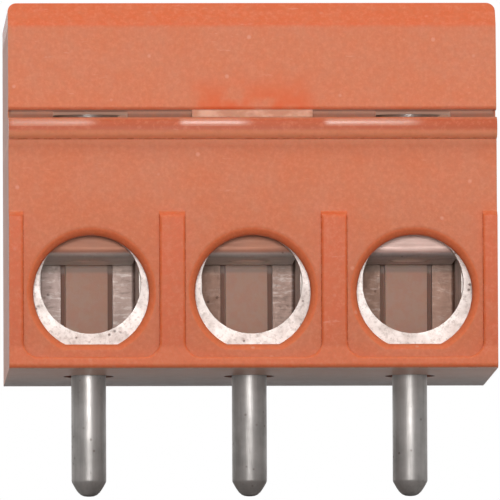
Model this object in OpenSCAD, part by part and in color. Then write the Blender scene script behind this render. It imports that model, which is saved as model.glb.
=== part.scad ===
// Three-pole screw terminal for a printed circuit board, in millimetres.
// X runs along the row of poles, the wire entries face -Y and +Z is up. The origin is where
// the axis of the middle solder pin meets the board. Each pole is a folded sheet cage with a
// riveted solder pin, a captive screw and a wire guard that the screw carries up and down.

/* [Row] */
// Number of poles side by side
poles = 3; // [2:1:6]
// Distance from one pole to the next
pitch = 5.08; // [5:0.01:7.62]
// How much longer the housing is than its poles, at each end
end_extra = 0.05; // [0:0.01:0.2]

/* [Housing walls] */
// Thickness of the floor that the pins pass through
floor_t = 0.55; // [0.4:0.05:1]
// Thickness of the front wall, from its plain face to the cells
front_wall = 1.3; // [1.2:0.05:2]
// Thickness of the back wall, which takes the cover's snap arms
back_wall = 2.4; // [2.3:0.05:4]
// Height of the base's rim over the cages
rim_over_cage = 1.55; // [1.4:0.01:1.8]
// Radius on the long outer edges
edge_r = 0.15; // [0.05:0.01:0.25]

/* [Front relief] */
// Width of the upright ribs between the poles
rib_w = 0.82; // [0.6:0.02:0.9]
// Height of the ribs from the board
rib_h = 4.88; // [4.4:0.02:5.6]
// How far the ribs stand out of the plain face
rib_proud = 0.3; // [0.2:0.05:0.6]
// Height of the band that joins the ribs at the bottom
band_h = 0.36; // [0.2:0.02:0.5]
// Radius in the lower corners of the recesses
recess_r = 0.5; // [0.2:0.05:1]
// Height of the rounded lip along the base's rim
lip_h = 0.68; // [0.4:0.02:0.9]
// How far the lip stands out of the plain face
lip_proud = 0.46; // [0.35:0.02:0.8]

/* [Wire entries] */
// Radius of the round wire entry in the housing
entry_r = 1.815; // [1.7:0.005:1.85]
// Distance from the entry's axis down to its flat floor
entry_flat = 1.67; // [1.5:0.01:1.8]
// How far the entry's axis lies below that of the hole in the cage
entry_drop = 0.38; // [0.2:0.01:0.45]
// How much the mouth is wider than the entry, on each side
mouth_flare = 0.2; // [0.1:0.01:0.24]
// Depth of the flared mouth
mouth_depth = 0.25; // [0.15:0.05:0.5]

/* [Cover] */
// Thickness of the top plate over the screw heads
top_plate = 1.28; // [0.9:0.02:2]
// Height of the seam that shows along the front
seam_h = 0.25; // [0.15:0.01:0.35]
// Depth of the seam
seam_depth = 0.6; // [0.4:0.05:0.7]
// Width of the windows that open the seam to the screws
window_w = 2.36; // [1.6:0.02:3]
// How far the front of the cover leans back towards the top
cover_lean = 0.15; // [0:0.05:0.4]
// Height of the bevel along the cover's top front edge
bevel_h = 0.74; // [0.4:0.02:1]
// Depth of that bevel
bevel_depth = 0.6; // [0.3:0.05:0.8]
// Radius on the upper corners of the cover's ends
corner_r = 0.28; // [0.1:0.02:0.5]
// Width of the gate witness at the middle of the seam
gate_w = 3.8; // [2:0.1:5]

/* [Clamp cage] */
// Thickness of the sheet
sheet_t = 0.45; // [0.35:0.01:0.5]
// Width inside the cage
cage_inner_w = 3.1; // [2.9:0.02:3.2]
// Length inside the cage, from front to back
cage_inner_d = 4; // [3.8:0.05:4.6]
// Inner radius of the folds
fold_r = 0.15; // [0.05:0.01:0.25]
// Radius of the hole for the wire
hole_r = 1.6; // [1.4:0.01:1.65]
// Height of the sill under that hole
sill_h = 0.19; // [0.05:0.01:0.3]
// Gap between the two flaps at the back
flap_gap = 1.65; // [1.2:0.05:1.9]

/* [Wire guard] */
// Thickness of the guard
guard_t = 0.3; // [0.25:0.01:0.4]
// Height of the guard's front lip
guard_lip_h = 1.5; // [1.3:0.05:2]
// Height of the guard's rear lip
guard_rear_h = 1; // [0.7:0.05:1.3]
// How far the front lip leans back at its top
guard_lean = 0.15; // [0:0.01:0.25]

/* [Screw] */
// Diameter of the shank
shank_d = 2.4; // [2:0.05:2.6]
// Pitch of the thread
thread_pitch = 0.45; // [0.35:0.05:0.5]
// Turns from fully open to fully closed
screw_turns = 5; // [4:0.5:5]
// Diameter of the head
head_d = 3.8; // [3.6:0.02:3.9]
// Height of the head
head_h = 1.2; // [1:0.05:1.6]
// Width of the slot
slot_w = 0.6; // [0.4:0.05:0.8]
// Depth of the slot
slot_depth = 0.7; // [0.4:0.05:0.8]
// Diameter of the pilot that carries the guard
pilot_d = 1; // [0.8:0.05:1.3]

/* [Solder pin] */
// Diameter of the pin
pin_d = 1.1; // [0.9:0.05:1.2]
// Length of the pin below the board face
pin_len = 3.8; // [3:0.1:5]
// Length of the pointed end
pin_tip = 0.5; // [0.3:0.05:0.8]
// How much the shoulder is wider than the pin, on each side
shoulder_step = 0.2; // [0.16:0.01:0.3]
// Height of the rivet head inside the cage
rivet_h = 0.15; // [0.1:0.01:0.25]

/* [Clearances] */
// Gap between the cage and the walls of its cell
cage_play = 0.05; // [0.02:0.01:0.08]
// Gap between the guard and the cage
guard_play = 0.1; // [0.05:0.01:0.15]
// Radial running clearance of the screw in its thread and of the pilot in the guard
running_gap = 0.05; // [0.02:0.01:0.08]
// Radial gap around the screw head
head_gap = 0.12; // [0.1:0.01:0.2]
// Height left between moving pieces at both ends of the travel
end_gap = 0.25; // [0.2:0.01:0.35]
// Gap around the cover's tongue and snap arms
snap_gap = 0.05; // [0.02:0.01:0.1]

/* [Hidden] */
$fn = 64;
cut = 0.02;             // how far a cutter passes a face

row_w = poles * pitch + 2 * end_extra;
travel = screw_turns * thread_pitch;

// Cage, seen from the front and from above
cage_w = cage_inner_w + 2 * sheet_t;
cage_d = cage_inner_d + 2 * sheet_t;
fold_out = fold_r + sheet_t;
ply_gap = 0.05;         // between the two layers of the folded top
cage_z = floor_t;
tray_z = cage_z + sheet_t;                                  // top of the bottom tab
guard_z = tray_z + rivet_h + end_gap + travel;              // underside of the open guard
inner_top_z = guard_z + guard_lip_h + end_gap;              // underside of the inner layer
ply_z = inner_top_z + sheet_t;                              // top of the inner layer
cage_top_z = ply_z + ply_gap + sheet_t;
hole_z = tray_z + sill_h + hole_r;
wrap_z0 = cage_z + fold_out;                                // the folds along Z run between
wrap_z1 = ply_z - fold_out;                                 // these two levels
tab_end = cage_d / 2 - fold_out - 0.15;                     // rear end of the layers
tab_seam = 0.05;        // between a free edge and the wall it reaches
wall_y = -cage_inner_d / 2 + tab_seam;                      // front end of the side walls
plate_half = cage_w / 2 - fold_out;                         // half the front plate's fold
ear_z = cage_top_z - fold_out - 0.15;                       // top of the plate's ears
ear_r = 0.2;

// Screw
shank_r = shank_d / 2;
head_r = head_d / 2;
tip_z = guard_z + guard_t;
head_z = cage_top_z + travel + end_gap;
head_top_z = head_z + head_h;
head_bevel = 0.15;
point_bevel = 0.2;
pilot_r = pilot_d / 2;
pilot_flare = 0.15;     // the peened end of the pilot, which holds the guard

// Housing levels
rim_z = cage_top_z + rim_over_cage;
plate_z = head_top_z + end_gap;
top_z = plate_z + top_plate;
head_bore_r = head_r + head_gap;
head_capture = 0.15;    // the head is wider than the hole over it by this, on each side
access_r = head_r - head_capture;
access_bevel = 0.2;

// Housing, from front to back
cell_w = cage_w + 2 * cage_play;
cell_half = cage_d / 2 + cage_play;
panel_y = -cell_half - front_wall;
rib_y = panel_y - rib_proud;
back_y = cell_half + back_wall;
entry_z = hole_z - entry_drop;
entry_floor_z = entry_z - entry_flat;
recess_w = pitch - rib_w;
rib_bevel = 0.18;

// Key on the back wall that stands between the cage's flaps
key_gap = 0.16;
key_w = flap_gap - 2 * key_gap;
key_depth = sheet_t + cage_play;
key_h = wrap_z1 - snap_gap;

// Seam, tongue and rebate at the front
cover_y = panel_y + 0.05;
tongue_y = cover_y + seam_depth;
tongue_t = -cell_half - tongue_y;
tongue_h = 0.6;
tongue_half = (poles - 1) * pitch / 2 + cell_w / 2 - 0.25;  // ends inside the outer cells
rebate_h = tongue_h + snap_gap;
gate_h = seam_h - 0.03;
gate_depth = seam_depth - 0.08;

// Legs that hold the cages down
leg_w = 2.4;
leg_t = cell_half - head_bore_r - cage_play - 0.02;

// Snap arms at the back
arm_w = 1.6;
arm_t = 0.6;
arm_len = 2.3;
arm_wall = 0.7;         // wall between a cell and the pocket of an arm
barb_proud = 0.3;
barb_h = 0.8;
arm_y = cell_half + arm_wall + snap_gap;
arm_back_y = arm_y + arm_t;
barb_z = rim_z - arm_len;

// Solder pin
pin_r = pin_d / 2;
shoulder_r = pin_r + shoulder_step;
shoulder_z = 0.1;       // the shoulder starts this far inside the floor
spigot_r = 0.36;
spigot_gap = 0.02;
rivet_r = 0.65;
point_r = 0.2;
pin_hole_r = shoulder_r + snap_gap;

plastic = [0.84, 0.46, 0.32];
tin = [0.8, 0.79, 0.77];
steel = [0.7, 0.7, 0.7];

function pole_x(i) = (i - (poles + 1) / 2) * pitch;
function between_x(i) = pole_x(i) + pitch / 2;

// Extrudes an outline drawn as (y, z) along X, centred
module along_x(length) {
    rotate([90, 0, 90]) linear_extrude(length, center = true) children();
}

// Extrudes an outline drawn as (x, z) along Y, from y0 to y1
module along_y(y0, y1) {
    translate([0, y1, 0]) rotate([90, 0, 0]) linear_extrude(y1 - y0) children();
}

// Removes a convex corner at p down to a radius; the solid lies towards (sx, sy)
module round_off(p, r, sx, sy) {
    translate(p) scale_sign(sx, sy) difference() {
        translate([-cut, -cut]) square(r + cut);
        translate([r, r]) circle(r);
    }
}

// Mirrors an outline into the quadrant given by two signs
module scale_sign(sx, sy) {
    mirror([sx < 0 ? 1 : 0, 0]) mirror([0, sy < 0 ? 1 : 0]) children();
}

// Rectangle from (x0, y0) to (x1, y1)
module rect(x0, y0, x1, y1) {
    translate([x0, y0]) square([x1 - x0, y1 - y0]);
}

// Centred rectangle with round corners
module rounded_rect(w, d, r) {
    difference() {
        square([w, d], center = true);
        for (sx = [-1, 1], sy = [-1, 1])
            round_off([-sx * w / 2, -sy * d / 2], r, sx, sy);
    }
}

module at_pole(i) {
    translate([pole_x(i), 0, 0]) children();
}

// ---- Base housing ----

// Side view of the base without its ribs: plain walls and the rounded lip
module base_section() {
    lip_r = lip_h / 2 - 0.01;
    difference() {
        union() {
            rect(panel_y, 0, back_y, rim_z);
            rect(panel_y - lip_proud, rim_z - lip_h, panel_y + cut, rim_z);
        }
        round_off([panel_y - lip_proud, rim_z], lip_r, 1, -1);
        round_off([panel_y - lip_proud, rim_z - lip_h], lip_r, 1, 1);
        round_off([back_y, 0], edge_r, -1, 1);
    }
}

// One recess, open at the top, with its lower corners rounded
module recess_outline() {
    difference() {
        rect(-recess_w / 2, band_h, recess_w / 2, rib_h + cut);
        round_off([-recess_w / 2, band_h], recess_r, 1, 1);
        round_off([recess_w / 2, band_h], recess_r, -1, 1);
    }
}

// Ribs and bottom band, raised from the front wall, with bevelled tops
module front_relief() {
    intersection() {
        along_y(rib_y, panel_y + 0.2) difference() {
            rect(-row_w / 2, 0, row_w / 2, rib_h);
            for (i = [1 : poles])
                translate([pole_x(i), 0]) recess_outline();
        }
        along_x(row_w + 1) difference() {
            polygon([[rib_y, 0], [rib_y, rib_h - rib_bevel], [panel_y, rib_h],
                     [panel_y + 0.2, rib_h], [panel_y + 0.2, 0]]);
            round_off([rib_y, 0], edge_r, 1, 1);
        }
    }
}

// Cell for one cage, open at the top, with the key left standing on its back wall
module cell() {
    difference() {
        translate([-cell_w / 2, -cell_half, floor_t])
            cube([cell_w, 2 * cell_half, rim_z]);
        translate([-key_w / 2, cell_half - key_depth, 0])
            cube([key_w, key_depth + cut, key_h]);
    }
    translate([0, 0, cage_top_z]) cylinder(r = head_bore_r, h = rim_z);
}

// Wire entry: a flared mouth and a round hole, both with a flat floor
module wire_entry() {
    y_in = -cell_half + cut;
    intersection() {
        translate([0, y_in, entry_z]) rotate([90, 0, 0]) union() {
            cylinder(r = entry_r, h = front_wall + 2 * cut);
            translate([0, 0, cut + front_wall - mouth_depth])
                cylinder(r1 = entry_r, r2 = entry_r + mouth_flare, h = mouth_depth + cut);
        }
        along_x(3 * entry_r)
            polygon([[y_in, entry_floor_z], [panel_y + mouth_depth, entry_floor_z],
                     [panel_y - mouth_depth, entry_floor_z - 1.2 * mouth_flare],
                     [panel_y - mouth_depth, entry_z + 2 * entry_r],
                     [y_in, entry_z + 2 * entry_r]]);
    }
}

// Pocket for one snap arm and the window in the back wall that its barb catches in
module snap_pocket() {
    w = arm_w + 2 * snap_gap;
    translate([-w / 2, arm_y - snap_gap, barb_z - snap_gap])
        cube([w, arm_t + 2 * snap_gap, rim_z]);
    translate([-w / 2, arm_y, barb_z - snap_gap])
        cube([w, back_y, barb_h + 2 * snap_gap]);
}

module base_housing() {
    color(plastic) difference() {
        union() {
            along_x(row_w) base_section();
            front_relief();
        }
        for (i = [1 : poles]) at_pole(i) {
            cell();
            wire_entry();
            translate([0, 0, -cut]) cylinder(r = pin_hole_r, h = floor_t + 2 * cut);
        }
        // Rebate for the cover's tongue
        translate([-tongue_half - snap_gap, tongue_y - snap_gap, rim_z - rebate_h])
            cube([2 * (tongue_half + snap_gap), tongue_t + 2 * snap_gap, rebate_h + 1]);
        for (i = [1 : poles - 1])
            translate([between_x(i), 0, 0]) snap_pocket();
    }
}

// ---- Top cover ----

// Side view of the cover: leaning front, bevel, and the seam along its lower front edge
module cover_section() {
    lean_y = cover_y + cover_lean;
    difference() {
        polygon([[cover_y, rim_z + seam_h], [lean_y, top_z - bevel_h],
                 [lean_y + bevel_depth, top_z], [back_y, top_z], [back_y, rim_z],
                 [tongue_y, rim_z], [tongue_y, rim_z + seam_h]]);
        round_off([back_y, top_z], edge_r, -1, -1);
        round_off([cover_y, rim_z + seam_h], edge_r, 1, 1);
    }
}

// Tongue along the front, broken at the windows
module tongue() {
    difference() {
        translate([-tongue_half, tongue_y, rim_z - tongue_h])
            cube([2 * tongue_half, tongue_t, tongue_h + cut]);
        for (i = [1 : poles]) at_pole(i) tongue_window();
    }
}

// Opening from the seam into the bore of one screw head
module tongue_window() {
    translate([-window_w / 2, tongue_y - cut, rim_z - tongue_h - cut])
        cube([window_w, -tongue_y, tongue_h + seam_h + cut]);
}

// Snap arm with its barb, as a side view drawn downwards from the rim
module snap_arm() {
    along_x(arm_w)
        polygon([[arm_y, rim_z + cut], [arm_y, barb_z], [arm_back_y, barb_z],
                 [arm_back_y + barb_proud, barb_z + barb_h - 0.2],
                 [arm_back_y + barb_proud, barb_z + barb_h],
                 [arm_back_y, barb_z + barb_h], [arm_back_y, rim_z + cut]]);
}

// Leg that reaches down to the flaps of one cage and keeps it seated
module hold_down_leg() {
    translate([-leg_w / 2, cell_half - cage_play - leg_t, wrap_z1])
        cube([leg_w, leg_t, rim_z - wrap_z1 + cut]);
}

// Bore for the screw head, open below, and the narrower hole for the screwdriver
module screw_bore() {
    translate([0, 0, rim_z - cut]) cylinder(r = head_bore_r, h = plate_z - rim_z + cut);
    translate([0, 0, plate_z - cut]) cylinder(r = access_r, h = top_plate + 2 * cut);
    translate([0, 0, top_z - access_bevel])
        cylinder(r1 = access_r, r2 = access_r + 2 * access_bevel, h = 2 * access_bevel);
}

module top_cover() {
    color(plastic) {
        difference() {
            union() {
                along_x(row_w) cover_section();
                tongue();
                for (i = [1 : poles - 1])
                    translate([between_x(i), 0, 0]) snap_arm();
                for (i = [1 : poles]) at_pole(i) hold_down_leg();
                // Witness of the gate in the seam
                translate([-gate_w / 2, tongue_y - gate_depth, rim_z + seam_h - gate_h])
                    cube([gate_w, gate_depth + cut, gate_h + cut]);
            }
            for (i = [1 : poles]) at_pole(i) {
                screw_bore();
                tongue_window();
            }
            along_y(cover_y - 1, back_y + 1) {
                round_off([-row_w / 2, top_z], corner_r, 1, -1);
                round_off([row_w / 2, top_z], corner_r, -1, -1);
            }
        }
    }
}

// ---- Clamp cage ----

// Side walls and the two rear flaps, in plan
module cage_walls() {
    translate([0, 0, wrap_z0]) linear_extrude(wrap_z1 - wrap_z0) difference() {
        rect(-cage_w / 2, wall_y, cage_w / 2, cage_d / 2);
        difference() {
            rect(-cage_inner_w / 2, -cage_d, cage_inner_w / 2, cage_inner_d / 2);
            round_off([-cage_inner_w / 2, cage_inner_d / 2], fold_r, 1, -1);
            round_off([cage_inner_w / 2, cage_inner_d / 2], fold_r, -1, -1);
        }
        round_off([-cage_w / 2, cage_d / 2], fold_out, 1, -1);
        round_off([cage_w / 2, cage_d / 2], fold_out, -1, -1);
        rect(-flap_gap / 2, cage_inner_d / 2 - cut, flap_gap / 2, cage_d);
    }
}

// Bottom, both walls and the inner layer of the top, as a front view
module inner_fold() {
    free_x = cage_inner_w / 2 - tab_seam;
    difference() {
        rect(-cage_w / 2, cage_z, cage_w / 2, ply_z);
        difference() {
            rect(-cage_inner_w / 2, tray_z, cage_inner_w / 2, inner_top_z);
            round_off([-cage_inner_w / 2, tray_z], fold_r, 1, 1);
            round_off([cage_inner_w / 2, tray_z], fold_r, -1, 1);
            round_off([-cage_inner_w / 2, inner_top_z], fold_r, 1, -1);
        }
        rect(free_x, inner_top_z - cut, cage_inner_w / 2, ply_z + cut);
        round_off([-cage_w / 2, cage_z], fold_out, 1, 1);
        round_off([cage_w / 2, cage_z], fold_out, -1, 1);
        round_off([-cage_w / 2, ply_z], fold_out, 1, -1);
    }
}

// Upper part of the right wall with the outer layer of the top, as a front view
module outer_fold() {
    free_x = -cage_inner_w / 2 + tab_seam;
    difference() {
        rect(free_x, wrap_z1, cage_w / 2, cage_top_z);
        difference() {
            rect(free_x - 1, cage_z, cage_inner_w / 2, cage_top_z - sheet_t);
            round_off([cage_inner_w / 2, cage_top_z - sheet_t], fold_r, -1, -1);
        }
        round_off([cage_w / 2, cage_top_z], fold_out, -1, -1);
    }
}

// Front plate and its fold down from the outer layer, as a side view
module front_fold() {
    difference() {
        rect(-cage_d / 2, cage_z, wall_y + cut, cage_top_z);
        difference() {
            rect(-cage_inner_d / 2, 0, 0, cage_top_z - sheet_t);
            round_off([-cage_inner_d / 2, cage_top_z - sheet_t], fold_r, 1, -1);
        }
        round_off([-cage_d / 2, cage_top_z], fold_out, 1, -1);
    }
}

// Full width of the front plate below its fold, as a front view
module front_plate() {
    translate([0, (cage_z + ear_z) / 2]) rounded_rect(cage_w, ear_z - cage_z, ear_r);
}

module clamp_cage() {
    color(tin) difference() {
        union() {
            cage_walls();
            along_y(wall_y, tab_end) inner_fold();
            along_y(wall_y, tab_end) outer_fold();
            along_x(2 * plate_half) front_fold();
            along_y(-cage_d / 2, -cage_inner_d / 2) front_plate();
        }
        translate([0, -cage_inner_d / 2 + cut, hole_z]) rotate([90, 0, 0])
            cylinder(r = hole_r, h = sheet_t + 2 * cut);
        translate([0, 0, inner_top_z - cut])
            cylinder(r = shank_r + running_gap, h = cage_top_z - inner_top_z + 2 * cut);
        translate([0, 0, cage_z - cut])
            cylinder(r = spigot_r + spigot_gap, h = sheet_t + 2 * cut);
    }
}

// ---- Solder pin ----

// Turned pin: point, shank, shoulder under the cage, spigot through it and rivet head
module solder_pin() {
    color(tin) rotate_extrude()
        polygon([[0, -pin_len], [point_r, -pin_len + 0.1 * pin_tip],
                 [0.75 * pin_r, -pin_len + 0.5 * pin_tip], [pin_r, -pin_len + pin_tip],
                 [pin_r, shoulder_z], [shoulder_r, shoulder_z], [shoulder_r, cage_z],
                 [spigot_r, cage_z], [spigot_r, tray_z], [rivet_r, tray_z],
                 [rivet_r - 0.15, tray_z + rivet_h], [0, tray_z + rivet_h]]);
}

// ---- Wire guard ----

// Strip under the screw, turned up at both ends
module wire_guard() {
    half = cage_inner_d / 2 - guard_play;
    width = cage_inner_w - 2 * guard_play;
    out_r = fold_r + guard_t;
    lip_z = guard_z + out_r;
    hole = pilot_r + running_gap;
    color(tin) difference() {
        union() {
            along_x(width) difference() {
                union() {
                    rect(-half, guard_z, half, lip_z);
                    rect(0, guard_z, half, guard_z + guard_rear_h);
                }
                difference() {
                    rect(-half + guard_t, guard_z + guard_t, half - guard_t, inner_top_z);
                    round_off([-half + guard_t, guard_z + guard_t], fold_r, 1, 1);
                    round_off([half - guard_t, guard_z + guard_t], fold_r, -1, 1);
                }
                round_off([-half, guard_z], out_r, 1, 1);
                round_off([half, guard_z], out_r, -1, 1);
            }
            // The lip leans back above its fold
            along_x(width)
                polygon([[-half, lip_z], [-half + guard_lean, guard_z + guard_lip_h],
                         [-half + guard_lean + guard_t, guard_z + guard_lip_h],
                         [-half + guard_t, lip_z]]);
        }
        translate([0, 0, guard_z - cut]) cylinder(r = hole, h = guard_t + 2 * cut);
        // Countersink for the peened end of the pilot
        translate([0, 0, guard_z - cut])
            cylinder(r1 = hole + pilot_flare, r2 = hole, h = pilot_flare);
    }
}

// ---- Clamp screw ----

// Slotted screw; its pilot passes through the guard and is peened over below it
module clamp_screw() {
    flare_top = guard_z + pilot_flare - running_gap;
    color(steel) difference() {
        rotate_extrude()
            polygon([[0, guard_z], [pilot_r + pilot_flare - running_gap, guard_z],
                     [pilot_r, flare_top], [pilot_r, tip_z],
                     [shank_r - point_bevel, tip_z], [shank_r, tip_z + point_bevel],
                     [shank_r, head_z], [head_r, head_z], [head_r, head_top_z - head_bevel],
                     [head_r - head_bevel, head_top_z], [0, head_top_z]]);
        translate([-head_r - cut, -slot_w / 2, head_top_z - slot_depth])
            cube([2 * (head_r + cut), slot_w, slot_depth + cut]);
    }
}

base_housing();
top_cover();
for (i = [1 : poles]) at_pole(i) {
    clamp_cage();
    solder_pin();
    wire_guard();
    clamp_screw();
}
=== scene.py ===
"""Looks of a three-pole screw terminal for a printed circuit board.

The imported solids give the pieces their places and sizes. The mouldings and the cages are
copies of their solids with their edges broken. The pins, the screws and the wire guards are
modelled here, each in the box of its solid.
"""
import logging
import math
from contextlib import contextmanager
from dataclasses import dataclass
from enum import Enum
from functools import reduce
from operator import add, mul
from typing import Any, Callable, Iterator, Optional, Sequence, Union

import bpy
from mathutils import Matrix, Vector


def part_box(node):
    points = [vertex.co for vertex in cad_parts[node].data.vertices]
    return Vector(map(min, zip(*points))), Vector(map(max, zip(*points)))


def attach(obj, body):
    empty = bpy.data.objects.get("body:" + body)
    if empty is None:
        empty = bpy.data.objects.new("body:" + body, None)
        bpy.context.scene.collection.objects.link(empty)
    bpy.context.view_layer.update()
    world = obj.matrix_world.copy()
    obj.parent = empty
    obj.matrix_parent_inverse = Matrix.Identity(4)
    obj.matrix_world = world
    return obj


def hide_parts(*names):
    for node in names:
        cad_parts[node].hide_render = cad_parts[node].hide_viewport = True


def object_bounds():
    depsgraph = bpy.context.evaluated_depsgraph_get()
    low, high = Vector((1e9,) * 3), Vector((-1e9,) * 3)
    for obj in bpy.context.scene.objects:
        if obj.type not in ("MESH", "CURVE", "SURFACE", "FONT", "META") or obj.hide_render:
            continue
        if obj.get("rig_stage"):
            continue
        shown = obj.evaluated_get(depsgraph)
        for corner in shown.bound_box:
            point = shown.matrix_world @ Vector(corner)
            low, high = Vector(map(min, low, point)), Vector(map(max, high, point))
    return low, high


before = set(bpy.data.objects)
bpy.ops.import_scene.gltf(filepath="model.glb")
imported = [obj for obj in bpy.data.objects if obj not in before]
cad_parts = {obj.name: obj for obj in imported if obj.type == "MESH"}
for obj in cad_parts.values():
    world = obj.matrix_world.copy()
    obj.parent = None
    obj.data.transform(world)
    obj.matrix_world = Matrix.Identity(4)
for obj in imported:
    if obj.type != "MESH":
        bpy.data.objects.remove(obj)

LOG = logging.getLogger("terminal")
MM = 0.001
# Corners closer than this are joined, and cuts move none further, in metres
WELD = 0.001 * MM
SNAP = 0.0005 * MM
POLES = (1, 2, 3)
PITCH = 5.08
# Places of the mouldings, in millimetres
PANEL = -3.8  # the front of the base round the wire openings
LIP = 7.22  # the foot of the lip
RIM = 7.9  # the top of the base's front
SEAM = 8.15  # the lower edge of the cover's front
BEVEL = 10.76  # the lower edge of the cover's bevel
Piece = bpy.types.Object
Material = bpy.types.Material
Colour = tuple[float, float, float]
Span = tuple[float, ...]
Outline = Sequence[tuple[float, float]]
Number = Union[float, "Value"]
GUARD_SHADOW_BAND: Span = (3.38, 3.5)  # the level of the shadow painted under the guards, on the cell walls and the cage flaps
BLACK: Colour = (0.0, 0.0, 0.0)
WHITE: Colour = (1.0, 1.0, 1.0)


class Axis(Enum):
    """Directions of the part, as unit vectors."""

    X = (1.0, 0.0, 0.0)
    Y = (0.0, 1.0, 0.0)
    Z = (0.0, 0.0, 1.0)


class Grain(Enum):
    """How a metal's fine lines run: the stretch of their pattern along X, Y and Z."""

    ALONG_X = (0.06, 1.0, 1.0)
    ALONG_Z = (1.0, 1.0, 0.05)
    NONE = (1.0, 1.0, 1.0)


def linear(part: int) -> float:
    """Turns one 8-bit number of a colour chart into linear light."""
    share = part / 255
    return share / 12.92 if share <= 0.04045 else ((share + 0.055) / 1.055) ** 2.4


def paint(red: int, green: int, blue: int) -> Colour:
    """Turns a colour of a chart into linear light."""
    return linear(red), linear(green), linear(blue)


# ---- Shader expressions ----


def arithmetic(operation: str, swapped: bool = False) -> Callable[..., "Value"]:
    """Makes an operator of Value.

    Args:
        operation: What its Math node does.
        swapped: Whether the value stands on the right.

    Returns:
        The method.
    """
    def method(value: "Value", other: Number = 0.0) -> "Value":
        """Adds the node."""
        sides = (other, value) if swapped else (value, other)
        return value.graph.node("ShaderNodeMath", dict(enumerate(sides)),
                                operation=operation)
    return method


class Value:
    """A number that varies over a surface. Arithmetic on it adds Math nodes."""

    def __init__(self, graph: "Graph", socket: Any) -> None:
        """Wraps an output socket of a graph."""
        self.graph = graph
        self.socket = socket

    __add__ = arithmetic("ADD")
    __radd__ = arithmetic("ADD", swapped=True)
    __sub__ = arithmetic("SUBTRACT")
    __rsub__ = arithmetic("SUBTRACT", swapped=True)
    __mul__ = arithmetic("MULTIPLY")
    __mod__ = arithmetic("FLOORED_MODULO")
    __abs__ = arithmetic("ABSOLUTE")
    most = arithmetic("MAXIMUM")
    least = arithmetic("MINIMUM")

    def ramp(self, start: float, end: float) -> "Value":
        """Goes smoothly from 0 at start to 1 at end, and start may be the larger.

        Args:
            start: The value where the result is 0.
            end: The value where the result is 1.

        Returns:
            The smooth mask.
        """
        back = start > end
        return self.graph.node(
            "ShaderNodeMapRange",
            {"Value": self, "From Min": min(start, end), "From Max": max(start, end),
             "To Min": float(back), "To Max": float(not back)},
            interpolation_type="SMOOTHSTEP")

    def span(self, places: Span) -> "Value":
        """Masks a stretch with soft ends.

        Args:
            places: Two places, between which the mask goes from 0 to 1, or four: it
                rises between the first two and falls between the last two.

        Returns:
            The mask.
        """
        if len(places) == 2:
            return self.ramp(*places)
        foot, full, last, end = places
        return self.ramp(foot, full) * self.ramp(end, last)


class Graph:
    """A tree of shader nodes, with one way to add a node."""

    def __init__(self, tree: Any, output: str) -> None:
        """Empties a tree and gives it an output node of the given type."""
        self.tree = tree
        tree.nodes.clear()
        self.end = tree.nodes.new(output).inputs["Surface"]

    def feed(self, socket: Any, value: Any) -> None:
        """Sets an input socket to a number, a colour, a vector or another node's result."""
        if isinstance(value, Value):
            self.tree.links.new(value.socket, socket)
        elif isinstance(value, tuple) and len(value) == 3 and socket.type == "RGBA":
            socket.default_value = (*value, 1.0)
        else:
            socket.default_value = value

    def node(self, kind: str, inputs: Optional[dict[Any, Any]] = None,
             output: Union[int, str] = 0, **settings: Any) -> Value:
        """Adds a node.

        Args:
            kind: The node's type.
            inputs: Values or links, by the sockets' names or numbers.
            output: The output that is wanted.
            **settings: The node's properties, set first.

        Returns:
            That output.
        """
        made = self.tree.nodes.new(kind)
        for name, setting in settings.items():
            setattr(made, name, setting)
        for name, value in (inputs or {}).items():
            self.feed(made.inputs[name], value)
        return Value(self, made.outputs[output])

    def along(self, axis: Axis, vector: Value) -> Value:
        """Gives the part of a vector along one direction."""
        return self.node("ShaderNodeSeparateXYZ", {0: vector}, axis.name)


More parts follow.
